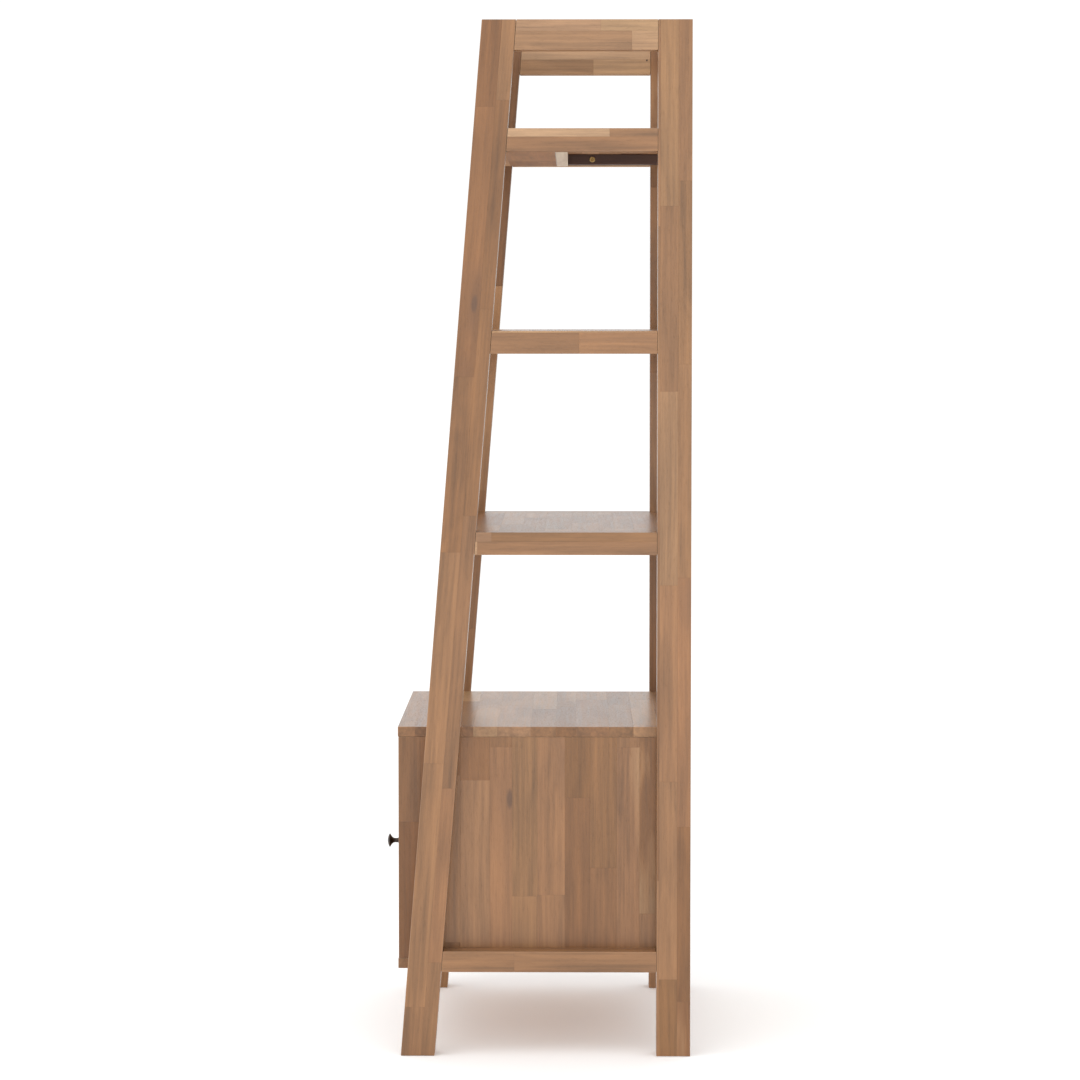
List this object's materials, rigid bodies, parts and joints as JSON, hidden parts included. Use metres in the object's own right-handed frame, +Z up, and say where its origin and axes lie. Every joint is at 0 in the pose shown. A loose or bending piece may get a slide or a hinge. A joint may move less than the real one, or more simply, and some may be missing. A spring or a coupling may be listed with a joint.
{
  "type": "ladder shelf",
  "caption": "Tall wooden ladder shelf with a leaning front frame, open shelves and a cabinet at the bottom, closed by one inset door with a round knob.",
  "frame": {"origin": "on the floor, under the middle of the overall box, knob included", "axes": "+Z up, -Y out of the front, where the door is, +X to the right of a person facing the front"},
  "size_m": [0.61, 0.543, 1.829],
  "materials": {
    "acacia": "finger-jointed acacia staves under a satin lacquer, straight grain, eased edges",
    "pale_wood": "pale unfinished secondary wood and plywood, fine grain, matt",
    "dark_wood": "dark brown stained hardwood cleat, low sheen",
    "brown_plastic": "brown moulded plastic, fine matt texture",
    "bronze": "oil-rubbed bronze, dark and softly polished, a little lighter on the rims",
    "brass": "yellow zinc-plated steel bolt head, satin",
    "steel": "bright zinc-plated steel, lightly brushed"
  },
  "bodies": {
    "shelf_frame": {"right_front_leg": "acacia", "right_rear_leg": "acacia", "right_top_rail": "acacia", "right_base_rail": "acacia", "right_lower_shelf_rail": "acacia", "right_middle_shelf_rail": "acacia", "right_upper_shelf_rail": "acacia", "left_front_leg": "acacia", "left_rear_leg": "acacia", "left_top_rail": "acacia", "left_base_rail": "acacia", "left_lower_shelf_rail": "acacia", "left_middle_shelf_rail": "acacia", "left_upper_shelf_rail": "acacia", "top_front_cross_rail": "acacia", "top_rear_cross_rail": "acacia", "lower_shelf_panel": "acacia", "lower_shelf_front_board": "acacia", "lower_shelf_batten": "pale_wood", "lower_shelf_rear_apron": "acacia", "lower_shelf_right_cleat": "dark_wood", "lower_shelf_right_bolt": "brass", "lower_shelf_left_cleat": "dark_wood", "lower_shelf_left_bolt": "brass", "middle_shelf_panel": "acacia", "middle_shelf_front_board": "acacia", "middle_shelf_batten": "pale_wood", "middle_shelf_rear_apron": "acacia", "middle_shelf_right_cleat": "dark_wood", "middle_shelf_right_bolt": "brass", "middle_shelf_left_cleat": "dark_wood", "middle_shelf_left_bolt": "brass", "upper_shelf_panel": "acacia", "upper_shelf_front_board": "acacia", "upper_shelf_batten": "pale_wood", "upper_shelf_rear_apron": "acacia", "upper_shelf_right_cleat": "dark_wood", "upper_shelf_right_bolt": "brass", "upper_shelf_left_cleat": "dark_wood", "upper_shelf_left_bolt": "brass", "cabinet_top": "acacia", "cabinet_bottom": "acacia", "cabinet_right_side": "acacia", "cabinet_left_side": "acacia", "cabinet_back": "pale_wood", "lower_hinge_cabinet_leaf": "bronze", "lower_hinge_pin": "bronze", "upper_hinge_cabinet_leaf": "bronze", "upper_hinge_pin": "bronze", "catch_magnet": "steel", "catch_housing": "brown_plastic"},
    "door": {"door": "acacia", "door_knob": "bronze", "door_knob_screw": "steel", "lower_hinge_door_leaf": "bronze", "upper_hinge_door_leaf": "bronze", "catch_strike_plate": "steel"}
  },
  "joints": [
    {"name": "door_hinge", "type": "hinge", "parent": "shelf_frame", "child": "door", "pos_m": [-0.2475, -0.2508, 0.366], "axis": [0, 0, -1], "range_deg": [0, 110]}
  ]
}
